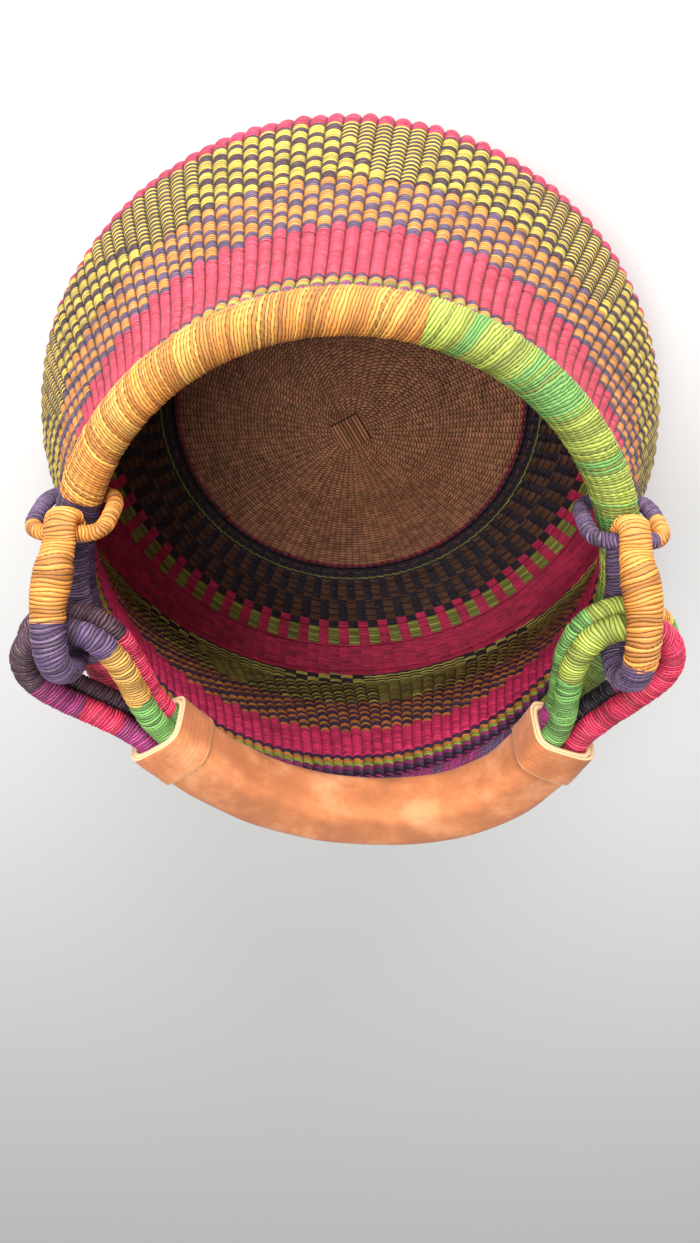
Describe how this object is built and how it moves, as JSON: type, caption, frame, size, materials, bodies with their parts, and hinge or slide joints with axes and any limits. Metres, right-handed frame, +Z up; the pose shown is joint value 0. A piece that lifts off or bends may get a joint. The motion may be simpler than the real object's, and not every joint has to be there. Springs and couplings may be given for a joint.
{
  "type": "woven basket",
  "caption": "Round market basket woven from dyed straw, with a wrapped rim hoop, linked rings and a double handle bound in leather.",
  "frame": {"origin": "centre of the base's underside, on the surface that the basket stands on", "axes": "+Z up out of the mouth, X across the handle from link to link, the handle lies to -Y"},
  "size_m": [0.3994, 0.3994, 0.2978],
  "materials": {
    "reddish_brown_straw": "matt dyed straw",
    "black_purple_straw": "matt dyed straw",
    "brown_orange_straw": "matt dyed straw",
    "olive_straw": "matt dyed straw",
    "crimson_straw": "matt dyed straw",
    "yellow_straw": "matt dyed straw",
    "orange_straw": "matt dyed straw",
    "pink_straw": "matt dyed straw",
    "magenta_straw": "matt dyed straw",
    "green_straw": "matt dyed straw",
    "yellow_green_straw": "matt dyed straw",
    "violet_straw": "matt dyed straw",
    "dark_purple_straw": "matt dyed straw",
    "ochre_straw": "matt dyed straw",
    "red_straw": "matt dyed straw",
    "natural_straw": "matt dyed straw",
    "tan_leather": "soft undyed leather",
    "pale_leather": "soft undyed leather"
  },
  "bodies": {
    "basket": {"base_disc": "reddish_brown_straw", "plaited_start": "reddish_brown_straw", "edge_rows": "black_purple_straw", "checked_rows": "brown_orange_straw", "olive_rows": "olive_straw", "crimson_rows": "crimson_straw", "yellow_rows": "yellow_straw", "orange_rows": "orange_straw", "pink_rows": "pink_straw", "rim_rows": "magenta_straw", "rim_core": "natural_straw", "rim_orange_wrap": "orange_straw", "rim_violet_wrap": "violet_straw", "rim_pink_wrap": "pink_straw", "rim_magenta_wrap": "magenta_straw", "rim_green_wrap": "green_straw", "left_ring": "violet_straw", "right_ring": "violet_straw"},
    "left_link": {"left_link_core": "natural_straw", "left_link_orange_wrap": "orange_straw", "left_link_violet_wrap": "violet_straw"},
    "right_link": {"right_link_core": "natural_straw", "right_link_orange_wrap": "orange_straw", "right_link_violet_wrap": "violet_straw"},
    "handle": {"upper_loop_core": "natural_straw", "lower_loop_core": "natural_straw", "upper_left_magenta_wrap": "magenta_straw", "upper_left_red_wrap": "red_straw", "upper_left_pink_wrap": "magenta_straw", "upper_left_purple_wrap": "dark_purple_straw", "upper_left_violet_wrap": "violet_straw", "upper_left_ochre_wrap": "ochre_straw", "upper_left_green_wrap": "green_straw", "upper_right_red_wrap": "red_straw", "upper_right_green_wrap": "yellow_green_straw", "upper_right_lime_wrap": "green_straw", "lower_left_purple_wrap": "dark_purple_straw", "lower_left_green_wrap": "green_straw", "lower_right_purple_wrap": "black_purple_straw", "lower_right_green_wrap": "green_straw", "lower_right_orange_wrap": "orange_straw", "lower_right_magenta_wrap": "magenta_straw", "leather_grip": "tan_leather", "left_cuff": "pale_leather", "right_cuff": "pale_leather"}
  },
  "joints": [
    {"name": "left_link_swing", "type": "hinge", "parent": "basket", "child": "left_link", "pos_m": [-0.13199, 0.05, 0.25305], "axis": [-1, 0, 0], "range_deg": [0, 90]},
    {"name": "right_link_swing", "type": "hinge", "parent": "basket", "child": "right_link", "pos_m": [0.13199, 0.05, 0.25305], "axis": [-1, 0, 0], "range_deg": [0, 90]},
    {"name": "handle_swing", "type": "hinge", "parent": "left_link", "child": "handle", "pos_m": [0, 0.0085, 0.2665], "axis": [-1, 0, 0], "range_deg": [0, 90]}
  ],
  "couplings": [
    {"joint": "right_link_swing", "follows": "left_link_swing", "ratio": 1}
  ]
}
